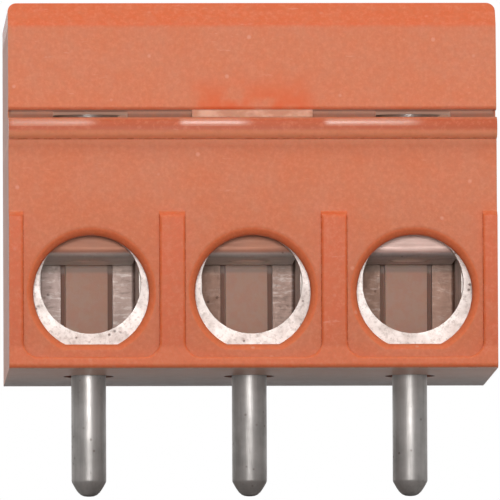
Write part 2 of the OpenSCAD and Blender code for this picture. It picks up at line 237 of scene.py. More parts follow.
class Skin(Graph):
    """The tree of one material: a Principled shader and patterns fixed to the part."""

    def __init__(self, name: str) -> None:
        """Starts the material of the given name."""
        self.material = bpy.data.materials.new(name)
        self.material.use_nodes = True
        super().__init__(self.material.node_tree, "ShaderNodeOutputMaterial")
        self.shader = self.tree.nodes.new("ShaderNodeBsdfPrincipled")
        self.body = Value(self, self.shader.outputs[0])
        self.feed(self.end, self.body)
        self.place = self.node(
            "ShaderNodeVectorMath",
            {0: self.node("ShaderNodeTexCoord", output="Object"), "Scale": 1 / MM},
            operation="SCALE")

    def shade(self, **inputs: Any) -> None:
        """Sets inputs of the shader, with _ for the blanks in their names."""
        for name, value in inputs.items():
            self.feed(self.shader.inputs[name.replace("_", " ")], value)

    def axis(self, axis: Axis) -> Value:
        """Gives the place along one direction of the part, in millimetres."""
        return self.along(axis, self.place)

    def facing(self, axis: Axis) -> Value:
        """Gives how far the surface faces along a direction, from -1 to 1."""
        return self.along(axis, self.node("ShaderNodeNewGeometry", output="Normal"))

    def mix(self, mask: Number, dark: Any, light: Any) -> Value:
        """Mixes two colours: dark shows where the mask is 0, and light where it is 1."""
        return self.node("ShaderNodeMix", {0: mask, 6: dark, 7: light}, 2,
                         data_type="RGBA")

    def coats(self, colour: Any, *layers: tuple[Number, Any]) -> Any:
        """Lays colours over one another.

        Args:
            colour: The lowest one.
            *layers: The share and the colour of each layer over it.

        Returns:
            The colour that shows.
        """
        for mask, tint in layers:
            colour = self.mix(mask, colour, tint)
        return colour

    def moved(self, x: float, y: float, z: float) -> Value:
        """Gives the place with a shift in millimetres."""
        return self.node("ShaderNodeVectorMath", {0: self.place, 1: (x, y, z)},
                         operation="ADD")

    def noise(self, per_mm: float, stretch: Span = WHITE, detail: float = 2.0,
              roughness: float = 0.5, offset: float = 0.0) -> Value:
        """Adds a noise pattern fixed to the part.

        Args:
            per_mm: How fine the noise is.
            stretch: The factor on each direction; a small one makes streaks along it.
            detail: How many finer layers are added.
            roughness: How strong those layers are.
            offset: A shift that gives each use its own pattern, in millimetres.

        Returns:
            The noise, about 0.5 in the middle.
        """
        stretched = self.node(
            "ShaderNodeVectorMath",
            {0: self.moved(offset, offset * 0.7, -offset), 1: stretch},
            operation="MULTIPLY")
        return self.node("ShaderNodeTexNoise",
                         {"Vector": stretched, "Scale": per_mm, "Detail": detail,
                          "Roughness": roughness})

    def specks(self, per_mm: float, size: float, offset: float = 0.0) -> Value:
        """Adds scattered round marks.

        Args:
            per_mm: How close the marks lie.
            size: The radius of a mark as a share of their spacing.
            offset: A shift that gives each use its own pattern, in millimetres.

        Returns:
            A mask that is 1 in the marks.
        """
        cells = self.node("ShaderNodeTexVoronoi",
                          {"Vector": self.moved(offset, -offset, offset * 0.4),
                           "Scale": per_mm, "Randomness": 1.0}, feature="F1")
        return cells.ramp(size, size * 0.35)

    def bump(self, height: Value, depth: float) -> None:
        """Shades the surface as if it had a height, of which 1 is depth in millimetres."""
        self.shade(Normal=self.node(
            "ShaderNodeBump",
            {"Strength": 1.0, "Distance": depth * MM, "Height": height}))


@dataclass(frozen=True)
class Block:
    """A block of the part's space with soft sides, in millimetres.

    Each direction has a span as in Value.span, or none. Across, the places count from
    the middle to both sides.
    """

    across: Optional[Span] = None
    depth: Optional[Span] = None
    height: Optional[Span] = None

    def mask(self, skin: Skin) -> Value:
        """Masks what lies in the block."""
        parts = []
        for axis, span in zip(Axis, (self.across, self.depth, self.height)):
            if span is not None:
                place = skin.axis(axis)
                parts.append((abs(place) if axis is Axis.X else place).span(span))
        return reduce(mul, parts)


# ---- Finishes ----


@dataclass(frozen=True)
class MouldedPlastic:
    """Orange plastic: spark-eroded walls that scatter light, polished ribs and bevels."""

    matt: Colour = paint(216, 120, 80)
    pale: Colour = paint(212, 132, 100)
    deep: Colour = paint(220, 100, 48)
    blush: Colour = paint(222, 98, 48)
    scuff: Colour = paint(232, 168, 146)
    torn: Colour = paint(234, 184, 160)
    stretched: Colour = paint(208, 150, 124)
    # Painted light: a paler, greyer haze on the shaded walls of the cells
    cell_haze_light: Colour = paint(213, 175, 157)
    shaded: Colour = paint(140, 100, 84)
    # Painted shadow: the darker band that the guards cast on the cell walls
    guard_shadow: Colour = paint(176, 154, 143)
    # Painted shade in the seam between base and cover
    seam_shade_tone: Colour = paint(152, 114, 95)
    # Painted shade on the lip's brow and body, painted light on its foot and under it
    lip_brow_shade: Colour = paint(196, 118, 88)
    lip_body_shade: Colour = paint(182, 84, 46)
    lip_foot_light: Colour = paint(232, 150, 112)
    # Painted light at the front of the underside, fading to painted shade at its rear
    sole_front_light: Colour = paint(236, 182, 154)
    sole_rear_shade: Colour = paint(100, 86, 75)
    # Painted glow, given as emission, for light that comes through the walls
    painted_glow: Colour = paint(136, 112, 98)
    # Painted light on the rounding of the mouths
    mouth: Colour = paint(232, 120, 72)
    # Painted light along the foot of the band below the openings
    band_light: Colour = paint(238, 128, 82)
    # Painted highlight on the glossy stretches of the lip
    lip_highlight: Colour = paint(240, 190, 166)
    peak: Colour = paint(236, 150, 116)
    pit: Colour = paint(188, 98, 62)
    glow: float = 0.3
    glow_depth: float = 0.35
    # Ribs, lip and bottom band
    raised: Block = Block(depth=(PANEL - 0.03, PANEL - 0.12))
    bevel: Block = Block(height=(BEVEL - 0.05, BEVEL + 0.12))
    # The torn strip that the gate left in the seam, and the flow blush over it
    gate: Block = Block((1.92, 1.88), (-3.5, -3.6), (7.86, 7.92, SEAM - 0.03, SEAM + 0.02))
    bloom: Block = Block((2.3, 1.4), (-3.4, -3.6), (8.1, 8.2, 8.2, 9.5))
    # The rounded mouths of the wire openings, where light is painted on their rounding
    mouths: Block = Block((7.4, 7.3), (PANEL + 0.005, PANEL + 0.03, PANEL + 0.4,
                                       PANEL + 0.5), (0.3, 0.4, 4.9, 5.0))
    # The foot of the front below the openings, where light is painted
    band: Block = Block(depth=(-4.0, -4.05), height=(0.75, 0.6))
    # The lip, painted in light and shade by height, and the strip under it, where light is
    # painted over the shade
    whole_lip: Block = Block(depth=(PANEL - 0.02, PANEL - 0.06),
                             height=(LIP - 0.1, LIP - 0.05))
    below_lip: Block = Block(height=(LIP - 0.25, LIP - 0.02, LIP + 0.02, LIP + 0.1))
    lip_top: Block = Block(depth=(PANEL - 0.05, PANEL - 0.15),
                           height=(LIP + 0.36, LIP + 0.42, RIM - 0.1, RIM - 0.02))
    # Along the lip: the stretches that the mould has kept glossy, where a highlight is also
    # painted
    glints: tuple[Span, ...] = ((-7.75, -7.45, -5.5, -4.7), (-2.4, -2.1, -0.65, 0.15),
                                (2.15, 2.45, 4.7, 5.5))
    # Up the lip, where its painted light turns to painted shade: from its foot to its body,
    # and from its body to its brow
    lip_rise: Span = (7.38, 7.55)
    lip_crest: Span = (7.78, 7.86)
    # The walls of the cells behind the cages, where a paler haze of light is painted, and
    # the gaps beside the keys, where shade is painted
    cells: Block = Block((7.45, 7.35), (-1.0, 0.5, 4.6, 4.7), (0.5, 0.6, 8.2, 8.4))
    key_side: Span = (0.66, 0.7)
    # The underside: its level, how its painted light fades to painted shade towards the
    # rear, and its recesses, where shade is painted
    sole: Span = (0.04, 0.0)
    sole_fade: Span = (-2.5, 4.5)
    recesses: Block = Block((7.0, 6.9), (-1.3, -1.1, 1.1, 1.3), (0.54, 0.5))
    # The seam between base and cover, where shade is painted
    seam: Block = Block((7.66, 7.62), (0.0, -1.0), (RIM - 0.02, RIM + 0.02, SEAM,
                                                    SEAM + 0.03))
    # Where a glow is painted as emission, standing in for light through the walls: round
    # the screws, and over the seam
    well: Block = Block((7.4, 7.3), (-3.0, -2.9, 2.9, 3.0), (7.0, 7.4, 8.8, 8.84))
    above: Block = Block((7.6, 7.56), (-3.7, -3.6, 2.9, 3.0), (8.04, 8.1, 8.16, 8.2))

    def material(self, name: str) -> Material:
        """Builds the material.

        Args:
            name: Its name.

        Returns:
            The material.
        """
        skin = Skin(name)
        across, depth, height = (skin.axis(axis) for axis in Axis)
        polished = self.raised.mask(skin).most(self.bevel.mask(skin))
        gate = self.gate.mask(skin)
        cells = self.cells.mask(skin)
        sole = height.span(self.sole) * skin.facing(Axis.Z).ramp(-0.6, -0.9)
        bright_lip = reduce(add, [across.span(glint) for glint in self.glints]) \
            * self.lip_top.mask(skin)
        beside_keys = abs((across + 1.5 * PITCH) % PITCH - PITCH / 2).span(self.key_side)
        clouds = skin.noise(0.55, detail=3, roughness=0.6).ramp(0.32, 0.7)
        mottle = skin.noise(2.6, detail=3, roughness=0.65, offset=9).ramp(0.36, 0.66)
        grains = skin.noise(7.0, detail=3, roughness=0.7, offset=17).ramp(0.3, 0.7)
        ragged = skin.noise(1.4, detail=2, offset=3).ramp(0.3, 0.6)
        tear = skin.noise(2.4, (0.6, 1.0, 1.0), detail=3, roughness=0.6, offset=2)
        # Fine pale scuffs
        lines = skin.noise(2.2, (0.35, 1.0, 1.9), detail=4, roughness=0.72, offset=21)
        dots = skin.specks(1.1, 0.1, offset=5) * (1 - polished * 0.6)
        # Painted light and shade up the lip, by height
        lip_shading = skin.coats(
            self.lip_foot_light, (height.span(self.lip_rise), self.lip_body_shade),
            (height.span(self.lip_crest), self.lip_brow_shade))
        colour = skin.coats(
            self.matt,
            (clouds * 0.45 + mottle * 0.35, self.pale),
            (polished * (0.86 - mottle * 0.25), self.deep),
            # Painted light on the rounding of the mouths
            (self.mouths.mask(skin) * 0.8, self.mouth),
            # Painted light along the foot of the band below the openings
            (self.band.mask(skin) * 0.6, self.band_light),
            # Painted light under the lip, and the lip's painted light and shade by height
            (self.below_lip.mask(skin) * 0.6, self.lip_foot_light),
            (self.whole_lip.mask(skin) * 0.8, lip_shading),
            # Painted highlight along the lip's glossy stretches
            (bright_lip * 0.35, self.lip_highlight),
            ((grains - 0.55) * 0.5, self.peak),
            ((0.4 - grains) * 0.4, self.pit),
            (self.bloom.mask(skin) * ragged * 0.8, self.blush),
            (lines.ramp(0.645, 0.72) * 0.3 + dots * 0.5, self.scuff),
            # Painted haze of light on the shaded cell walls, and painted shade beside the
            # keys
            (cells * (0.75 + mottle * 0.2), self.cell_haze_light),
            (cells * beside_keys * 0.85, self.shaded),
            # Painted shadow of the guards on the cell walls
            (cells * height.span(GUARD_SHADOW_BAND) * 0.75, self.guard_shadow),
            # Painted light fading to painted shade along the underside, and painted shade
            # in its recesses
            (sole * 0.85, skin.mix(depth.span(self.sole_fade), self.sole_front_light,
                                   self.sole_rear_shade)),
            (self.recesses.mask(skin) * (1 - sole) * 0.9, self.shaded),
            # Painted shade in the seam
            (self.seam.mask(skin) * (0.8 - mottle * 0.2), self.seam_shade_tone),
            (gate * 0.9, self.stretched),
            (gate * tear.ramp(0.4, 0.7) * 0.85, self.torn))
        # Spark texture on the walls, smooth on what is polished
        spark = skin.noise(13.0, detail=3, roughness=0.6, offset=13)
        broad = skin.noise(1.2, detail=2, offset=31)
        skin.bump(spark * (1 - polished * 0.9) + broad * 0.8 + gate * tear * 3.0, 0.007)
        # Sides and foot are smoother than the front
        flat = abs(skin.facing(Axis.X)).ramp(0.85, 0.95).most(
            skin.facing(Axis.Z).ramp(-0.85, -0.95))
        roughness = 0.66 - polished * 0.14 - flat * 0.28 - bright_lip * 0.32 \
            + mottle * 0.06 + gate * 0.2
        # Painted glow round the screws and over the seam, given as emission
        painted_glow = self.well.mask(skin).most(self.above.mask(skin) * 0.4)
        skin.shade(Base_Color=colour, Roughness=roughness.least(0.9).most(0.2),
                   Specular_IOR_Level=0.42, Coat_Weight=bright_lip, Coat_Roughness=0.25,
                   Emission_Color=skin.mix(painted_glow, BLACK, self.painted_glow),
                   Emission_Strength=1.0, Subsurface_Weight=self.glow,
                   Subsurface_Radius=(1.0, 0.35, 0.15),
                   Subsurface_Scale=self.glow_depth * MM)
        return skin.material


@dataclass(frozen=True)
class FlapShading:
    """The painted shade and reflection of the two rear flaps of one cage, to both sides of
    its middle.

    The streaks are the strength of their drawing lines.
    """

    middle: float
    left: Colour
    right: Colour
    streaks: tuple[float, float]


@dataclass(frozen=True)
class Tin:
    """Tin plate on brass or steel, with the lines of its rolling, drawing or turning."""

    bright: Colour
    dull: Colour
    roughness: float
    lines_per_mm: float
    line_depth: float
    tarnish: float
    grain: Grain = Grain.NONE
    flecks: float = 0.0
    # A painted reflection on the front of a guard's lip
    lip_reflection_tint: Optional[Colour] = None
    # Stains; the same colour also paints the shadow of the guard on the flaps
    stain_and_shade: Colour = paint(120, 108, 100)
    flap_depth: Span = (1.7, 1.95)

    def material(self, name: str, offset: float,
                 flaps: Optional[FlapShading] = None) -> Material:
        """Builds the material.

        Args:
            name: Its name.
            offset: A shift that gives each copy of the piece its own marks.
            flaps: The painted shade and reflection of a cage's rear flaps, if the piece has
                them.

        Returns:
            The material.
        """
        skin = Skin(name)
        lines = skin.noise(self.lines_per_mm, self.grain.value, detail=4,
                           roughness=0.65, offset=offset + 1)
        clouds = skin.noise(1.1, detail=3, roughness=0.6, offset=offset + 7)
        worn = clouds.ramp(0.35, 0.7) * self.tarnish + lines.ramp(0.45, 0.75) * 0.3
        colour = skin.mix(worn, self.bright, self.dull)
        if self.flecks:
            fleck = skin.noise(9.0, detail=3, roughness=0.7, offset=offset + 9)
            colour = skin.mix(fleck.ramp(0.52, 0.66) * self.flecks, colour, self.dull)
        specks = skin.specks(3.4, 0.2, offset + 3) * clouds.ramp(0.42, 0.6)
        colour = skin.mix(specks * 0.55, colour, self.stain_and_shade)
        if flaps is not None:
            side = (skin.axis(Axis.X) - flaps.middle).ramp(-0.1, 0.1)
            streaks = skin.noise(5.0, (0.3, 1.0, 1.4), detail=4, roughness=0.7,
                                 offset=offset + 5)
            left, right = flaps.streaks
            strength = side * (right - left) + left
            # Painted shade and reflection on the rear flaps, with their drawing lines
            tone = skin.coats(
                flaps.left, (side, flaps.right),
                (streaks.ramp(0.5, 0.66) * strength * 0.45, self.bright),
                (streaks.ramp(0.46, 0.32) * strength * 0.5, self.stain_and_shade),
                # Painted shadow of the guard across the flaps
                (skin.axis(Axis.Z).span(GUARD_SHADOW_BAND) * 0.55, self.stain_and_shade))
            rear = skin.axis(Axis.Y).span(self.flap_depth) \
                * skin.facing(Axis.Y).ramp(0.0, -0.5)
            colour = skin.mix(rear, colour, tone)
        # Painted reflection on the front of the lip
        if self.lip_reflection_tint is not None:
            lip = skin.facing(Axis.Y).ramp(-0.7, -0.92)
            colour = skin.mix(lip * (1.05 - clouds * 0.3), colour, self.lip_reflection_tint)
        fine = skin.noise(24.0, detail=2, offset=offset + 4)
        skin.bump(lines + fine * 0.35 - specks * 0.8, self.line_depth)
        roughness = self.roughness + (lines - 0.5) * 0.22 + (clouds - 0.5) * 0.2 \
            + specks * 0.15
        skin.shade(Base_Color=colour, Roughness=roughness.most(0.12), Metallic=1.0)
        return skin.material


CAGE_FINISH = Tin(paint(240, 233, 228), paint(186, 174, 166), roughness=0.6,
                  lines_per_mm=7.0, line_depth=0.01, tarnish=0.4, flecks=0.5)
# The guards' lips carry a painted reflection: orange-brown on poles 1 and 2, pale on pole 3
GUARD_FINISH = Tin(paint(230, 230, 226), paint(202, 198, 194), roughness=0.62,
                   lines_per_mm=10.0, line_depth=0.004, tarnish=0.4, flecks=0.3,
                   grain=Grain.ALONG_X, lip_reflection_tint=paint(180, 124, 98))
WORN_PALE_LIP_GUARD_FINISH = Tin(paint(218, 214, 212), paint(184, 176, 172), roughness=0.6,
                        lines_per_mm=9.0, line_depth=0.006, tarnish=0.5, flecks=0.4,
                        grain=Grain.ALONG_X, lip_reflection_tint=paint(226, 198, 188))
PIN_FINISH = Tin(paint(190, 186, 183), paint(152, 148, 145), roughness=0.44,
                 lines_per_mm=11.0, line_depth=0.003, tarnish=0.5, grain=Grain.ALONG_Z)
SCREW_FINISH = Tin(paint(216, 214, 212), paint(180, 178, 177), roughness=0.36,
                   lines_per_mm=7.0, line_depth=0.002, tarnish=0.3)
# Painted shade and reflection of each cage's rear flaps, left and right of its middle
FLAPS = {
    1: FlapShading(-PITCH, paint(182, 162, 155), paint(184, 162, 153), (1.0, 1.0)),
    2: FlapShading(0.0, paint(152, 122, 108), paint(176, 150, 139), (0.15, 0.9)),
    3: FlapShading(PITCH, paint(150, 122, 108), paint(168, 136, 121), (0.35, 0.45)),
}


# ---- Modelling ----


def activate(piece: Piece) -> None:
    """Makes a piece the only one selected, and the active one."""
    bpy.ops.object.select_all(action="DESELECT")
    piece.select_set(True)
    bpy.context.view_layer.objects.active = piece


@contextmanager
def editing(action: Optional[str] = "SELECT") -> Iterator[None]:
    """Opens the active piece's mesh, all or (DESELECT) nothing or (None) part selected."""
    bpy.ops.object.mode_set(mode="EDIT")
    if action is not None:
        bpy.ops.mesh.select_all(action=action)
    yield
    bpy.ops.object.mode_set(mode="OBJECT")


def face_outwards() -> None:
    """Turns all faces of the open mesh outwards."""
    bpy.ops.mesh.select_all(action="SELECT")
    bpy.ops.mesh.normals_make_consistent(inside=False)


def apply_modifier(piece: Piece, kind: str, **settings: Any) -> None:
    """Adds a modifier to a piece and applies it.

    Args:
        piece: The piece.
        kind: The modifier's type.
        **settings: The modifier's properties.
    """
    activate(piece)
    bpy.ops.object.modifier_add(type=kind)
    modifier = piece.modifiers[-1]
    for name, setting in settings.items():
        setattr(modifier, name, setting)
    bpy.ops.object.modifier_apply(modifier=modifier.name)


def settle(piece: Piece) -> None:
    """Puts a piece's place into its mesh, so that its object sits at the origin."""
    activate(piece)
    bpy.ops.object.transform_apply(location=True, rotation=True, scale=True)


def break_edges(piece: Piece, width: float) -> None:
    """Rounds the sharp edges of a piece over a width in millimetres."""
    apply_modifier(piece, "BEVEL", width=width * MM, segments=2, limit_method="ANGLE",
                   angle_limit=math.radians(30), use_clamp_overlap=True)


def deselect(piece: Piece) -> None:
    """Makes a piece the active one, with nothing of its mesh selected."""
    activate(piece)
    with editing("DESELECT"):
        pass


def lift(piece: Piece, rise: float, wanted: Callable[[Vector], bool]) -> None:
    """Moves some corners of a piece upwards.

    Args:
        piece: The piece.
        rise: How far, in millimetres.
        wanted: Says from a corner's place, in millimetres, whether it moves.
    """
    deselect(piece)
    for vertex in piece.data.vertices:
        vertex.select = wanted(vertex.co / MM)
    with editing(None):
        bpy.ops.transform.translate(value=(0, 0, rise * MM))


def round_edges(piece: Piece, width: float,
                wanted: Callable[[Vector, Vector], bool]) -> None:
    """Rounds chosen edges of a piece more than the others.

    Args:
        piece: The piece.
        width: The width of the rounding, in millimetres.
        wanted: Says from an edge's two ends, in millimetres, whether it is rounded.
    """
    bpy.context.tool_settings.mesh_select_mode = (False, True, False)
    deselect(piece)
    ends = [vertex.co / MM for vertex in piece.data.vertices]
    for edge in piece.data.edges:
        edge.select = wanted(*(ends[index] for index in edge.vertices))
    with editing(None):
        bpy.ops.mesh.bevel(offset=width * MM, segments=3, clamp_overlap=True)
    bpy.context.tool_settings.mesh_select_mode = (True, False, False)


def copy_solid(node: str, name: str) -> Piece:
    """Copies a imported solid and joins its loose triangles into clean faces.

    Args:
        node: The solid's name.
        name: The new piece's name.

    Returns:
        The new piece.
    """
    activate(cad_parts[node])
    bpy.ops.object.duplicate()
    piece = bpy.context.object
    piece.parent = None
    piece.name = piece.data.name = name
    for key in [key for key in piece.keys() if key.startswith("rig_")]:
        del piece[key]
    with editing():
        bpy.ops.mesh.customdata_custom_splitnormals_clear()
        bpy.ops.mesh.remove_doubles(threshold=2 * WELD)
        bpy.ops.mesh.select_all(action="SELECT")
        bpy.ops.mesh.dissolve_limited(angle_limit=math.radians(0.6))
    return piece


def circle(name: str, sides: int, radius: float, **where: Any) -> Piece:
    """Adds a circle with a radius in millimetres, and names it."""
    bpy.ops.object.select_all(action="DESELECT")
    bpy.ops.mesh.primitive_circle_add(vertices=sides, radius=radius * MM, **where)
    piece = bpy.context.object
    piece.name = piece.data.name = name
    return piece


def extrude_rings(rings: Outline, base: Sequence[float], axis: Axis) -> None:
    """Extrudes the selected first ring along an axis, through all the others.

    Args:
        rings: Radius and place along the axis of each ring, in millimetres.
        base: The point from which those places count, in metres.
        axis: The direction of the axis.
    """
    for (radius, here), (next_radius, there) in zip(rings, rings[1:]):
        bpy.ops.mesh.extrude_region_move(TRANSFORM_OT_translate={
            "value": [part * (there - here) * MM for part in axis.value]})
        share = next_radius / radius
        bpy.ops.transform.resize(
            value=[1 if part else share for part in axis.value],
            center_override=[start + part * there * MM
                             for start, part in zip(base, axis.value)])


def turned(name: str, outline: Outline, centre: Vector) -> Piece:
    """Turns a closed solid about an upright axis, ring by ring from one end.

    Args:
        name: The piece's name.
        outline: Radius and height of each ring, in millimetres.
        centre: A point on the axis, in metres.

    Returns:
        The piece.
    """
    radius, level = outline[0]
    piece = circle(name, 96, radius, fill_type="NGON",
                   location=(centre.x, centre.y, level * MM))
    with editing():
        extrude_rings(outline, (centre.x, centre.y, 0), Axis.Z)
        face_outwards()
    settle(piece)
    return piece


def drawn(name: str, points: Sequence[Vector]) -> Piece:
    """Draws a chain of edges.

    Args:
        name: The piece's name.
        points: The corners in order, in millimetres.

    Returns:
        The chain.
    """
    piece = circle(name, 3, 0.1, location=(0, 0, 0))
    with editing():
        bpy.ops.mesh.merge(type="CENTER")
        bpy.ops.transform.translate(value=points[0] * MM)
        for here, there in zip(points, points[1:]):
            bpy.ops.mesh.extrude_vertices_move(
                TRANSFORM_OT_translate={"value": (there - here) * MM})
    return piece


def prism(name: str, outline: Outline, start: float, end: float) -> Piece:
    """Makes a bar along X with a given cross-section.

    Args:
        name: The piece's name.
        outline: The section's corners as Y and Z in order, in millimetres.
        start: Where the bar begins along X.
        end: Where it ends.

    Returns:
        The bar.
    """
    piece = drawn(name, [Vector((start, y, z)) for y, z in (*outline, outline[0])])
    with editing():
        bpy.ops.mesh.remove_doubles(threshold=WELD)
        bpy.ops.mesh.select_all(action="SELECT")
        bpy.ops.mesh.edge_face_add()
        bpy.ops.mesh.extrude_region_move(
            TRANSFORM_OT_translate={"value": ((end - start) * MM, 0, 0)})
        face_outwards()
    return piece


def arc(middle: tuple[float, float], radius: float, start: float, end: float,
        steps: int = 6) -> Outline:
    """Lists points on an arc in the YZ plane.

    Args:
        middle: Y and Z of its centre, in millimetres.
        radius: Its radius.
        start: The angle of the first point from +Y towards +Z, in degrees.
        end: The angle of the last point.
        steps: The edges along it.

    Returns:
        Y and Z of each point.
    """
    turns = [math.radians(start + (end - start) * step / steps)
             for step in range(steps + 1)]
    return [(middle[0] + radius * math.cos(turn), middle[1] + radius * math.sin(turn))
            for turn in turns]


def carve(piece: Piece, tool: Piece, how: str) -> None:
    """Applies a boolean (DIFFERENCE, UNION, INTERSECT) to a piece and deletes the tool."""
    apply_modifier(piece, "BOOLEAN", operation=how, object=tool, solver="EXACT")
    bpy.data.objects.remove(tool)


def fit(piece: Piece, finish: Material, body: str, slot: str,
        *nodes: str, degrees: float = 35.0) -> None:
    """Shades a piece, gives it its finish, sets it under the body it moves with and hides
    the solids it stands for.

    Large faces keep their own direction, and the shading turns only in the small ones
    between them.

    Args:
        piece: The piece.
        finish: Its one material.
        body: The body it moves with.
        slot: Not used.
        *nodes: The solids it stands for.
        degrees: The angle from which an edge stays sharp.
    """
    activate(piece)
    bpy.ops.object.shade_smooth_by_angle(angle=math.radians(degrees))
    apply_modifier(piece, "WEIGHTED_NORMAL", mode="FACE_AREA", weight=50,
                   keep_sharp=True)
    piece.data.materials.clear()
    piece.data.materials.append(finish)
    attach(piece, body)
    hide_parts(*nodes)
    LOG.info("%s: %d faces, moves with %s", piece.name, len(piece.data.polygons), body)


# ---- Sub-assemblies ----


@dataclass
class Moulding:
    """One of the two orange mouldings. Lengths here and below are in millimetres."""

    node: str
    name: str
    edge: float = 0.045
    end_round: float = 0.1
    foot_round: float = 0.07
    panel_inset: float = 0.46
    entry_radius: float = 1.815
    entry_level: float = 2.41
    entry_floor: float = 1.61
    # How much wider a mouth grows, over what depth and in how many steps
    mouth_reach: float = 0.3
    mouth_depth: float = 0.4
    mouth_steps: int = 8
    entry_play: float = 0.004
    wall: float = 1.33
    draft: float = 0.1
    rib_rise: float = 0.1
    rib_proud: float = 0.3
    rib_round: float = 0.1
    rib_ends: tuple[float, float] = (4.6, 5.1)
    band_foot: float = 0.3
    sill_inset: float = 0.002
    sill_depth: float = 1.1
    sill_height: float = 0.35
    sill_half: float = 1.3

    def flare(self, centre: Vector) -> Piece:
        """Makes the tool that rounds the mouth of a wire opening above its flat floor.

        Args:
            centre: Where the opening's axis meets the panel, in metres.

        Returns:
            The tool.
        """
        radius = self.entry_radius
        rings = [(radius + self.draft, self.wall)]
        for step in range(self.mouth_steps + 1):
            turn = math.pi / 2 * step / self.mouth_steps
            rings.append((
                radius - self.entry_play + self.mouth_reach * (1 - math.cos(turn)),
                self.mouth_depth * (1 - math.sin(turn))))
        rings.append((rings[-1][0], -0.1))
        wide, deep = rings[0]
        tool = circle("flare", 144, wide, fill_type="NGON", rotation=(math.pi / 2, 0, 0),
                      location=(centre.x, centre.y + deep * MM, centre.z))
        settle(tool)
        floor = centre.z - (self.entry_floor - radius + wide) * MM
        with editing():
            bpy.ops.mesh.bisect(plane_co=(0, 0, floor), plane_no=(0, 0, 1),
                                clear_inner=True, threshold=SNAP)
            bpy.ops.mesh.select_all(action="SELECT")
            extrude_rings(rings, centre, Axis.Y)
            face_outwards()
        return tool

    def soften(self, piece: Piece) -> None:
        """Rounds the ends of the front, the mouths and the cover's lower edge."""
        low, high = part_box(self.node)
        end, front = high.x / MM - 0.01, low.y / MM
        panel = front + self.panel_inset
        raised = panel - self.rib_proud
        # The edges round the two ends of the front
        round_edges(piece, self.end_round, lambda a, b: (
            min(abs(a.x), abs(b.x)) > end and max(a.y, b.y) < front + 0.8))
        if self.node == "top_cover":
            # The lower edge of its front
            round_edges(piece, self.foot_round, lambda a, b: (
                max(a.z, b.z) < SEAM + 0.05 and max(a.y, b.y) < front + 0.05))
            return
        # The upper ends of the ribs
        below, above = self.rib_ends
        lift(piece, self.rib_rise, lambda corner: (
            below < corner.z < above and corner.y < panel + 0.01))
        # The edges of the raised ribs and of the band below the openings
        round_edges(piece, self.rib_round, lambda a, b: (
            max(abs(a.y - raised), abs(b.y - raised)) < 0.01
            and max(abs(a.x), abs(b.x)) < end - 0.2 and min(a.z, b.z) > self.band_foot))
        near, far = panel + self.sill_inset, panel + self.sill_depth
        floor = self.entry_level - self.entry_floor
        foot = floor - self.sill_height
        for pole in POLES:
            middle = (pole - 2) * PITCH
            sill = prism("sill", [(near, foot), (far, foot), (far, floor), (near, floor)],
                         middle - self.sill_half, middle + self.sill_half)
            carve(piece, sill, "UNION")
            centre = Vector((middle, panel, self.entry_level)) * MM
            carve(piece, self.flare(centre), "DIFFERENCE")

    def build(self, finish: Material) -> None:
        """Models the moulding and dresses it in the plastic."""
        piece = copy_solid(self.node, self.name)
        self.soften(piece)
        break_edges(piece, self.edge)
        fit(piece, finish, "housing", "housing_plastic", self.node)


@dataclass
class Cage:
    """The folded sheet cage of one pole."""

    pole: int
    edge: float = 0.035

    def build(self) -> None:
        """Models and dresses the cage."""
        node = f"clamp_cage_{self.pole}"
        piece = copy_solid(node, f"cage_sheet_{self.pole}")
        break_edges(piece, self.edge)
        finish = CAGE_FINISH.material(f"cage_plate_{self.pole}", 11.0 * self.pole,
                                      FLAPS[self.pole])
        fit(piece, finish, "housing", "cage_tin", node)


@dataclass
class Pin:
    """The turned solder pin of one pole."""

    pole: int
    radius: float = 0.55
    shoulder: float = 0.75
    shoulder_level: float = 0.1
    spigot: float = 0.36
    cage_levels: tuple[float, float] = (0.55, 1.0)
    rivet: float = 0.65
    tip: float = 0.5
    # Radius and height over the end of each ring of the rounded point
    point: Outline = ((0.06, 0.0), (0.16, 0.012), (0.25, 0.05), (0.34, 0.13),
                      (0.42, 0.24), (0.49, 0.36))

    def build(self) -> None:
        """Models and dresses the pin."""
        node = f"solder_pin_{self.pole}"
        low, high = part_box(node)
        tip, top = low.z / MM, high.z / MM
        r, step = self.radius, self.shoulder_level
        under, over = self.cage_levels
        piece = turned(f"pin_turned_{self.pole}", [
            *((radius, tip + rise) for radius, rise in self.point),
            (r - 0.012, tip + self.tip - 0.05), (r, tip + self.tip),
            (r, step), (self.shoulder - 0.03, step), (self.shoulder, step + 0.03),
            (self.shoulder, under), (self.spigot, under), (self.spigot, over),
            (self.rivet, over), (self.rivet - 0.01, top - 0.1),
            (self.rivet - 0.08, top - 0.03), (self.rivet - 0.25, top), (0.05, top)],
            (low + high) / 2)
        fit(piece, PIN_FINISH.material(f"pin_plate_{self.pole}", 5.0 * self.pole),
            "housing", "pin_tin", node, degrees=40)


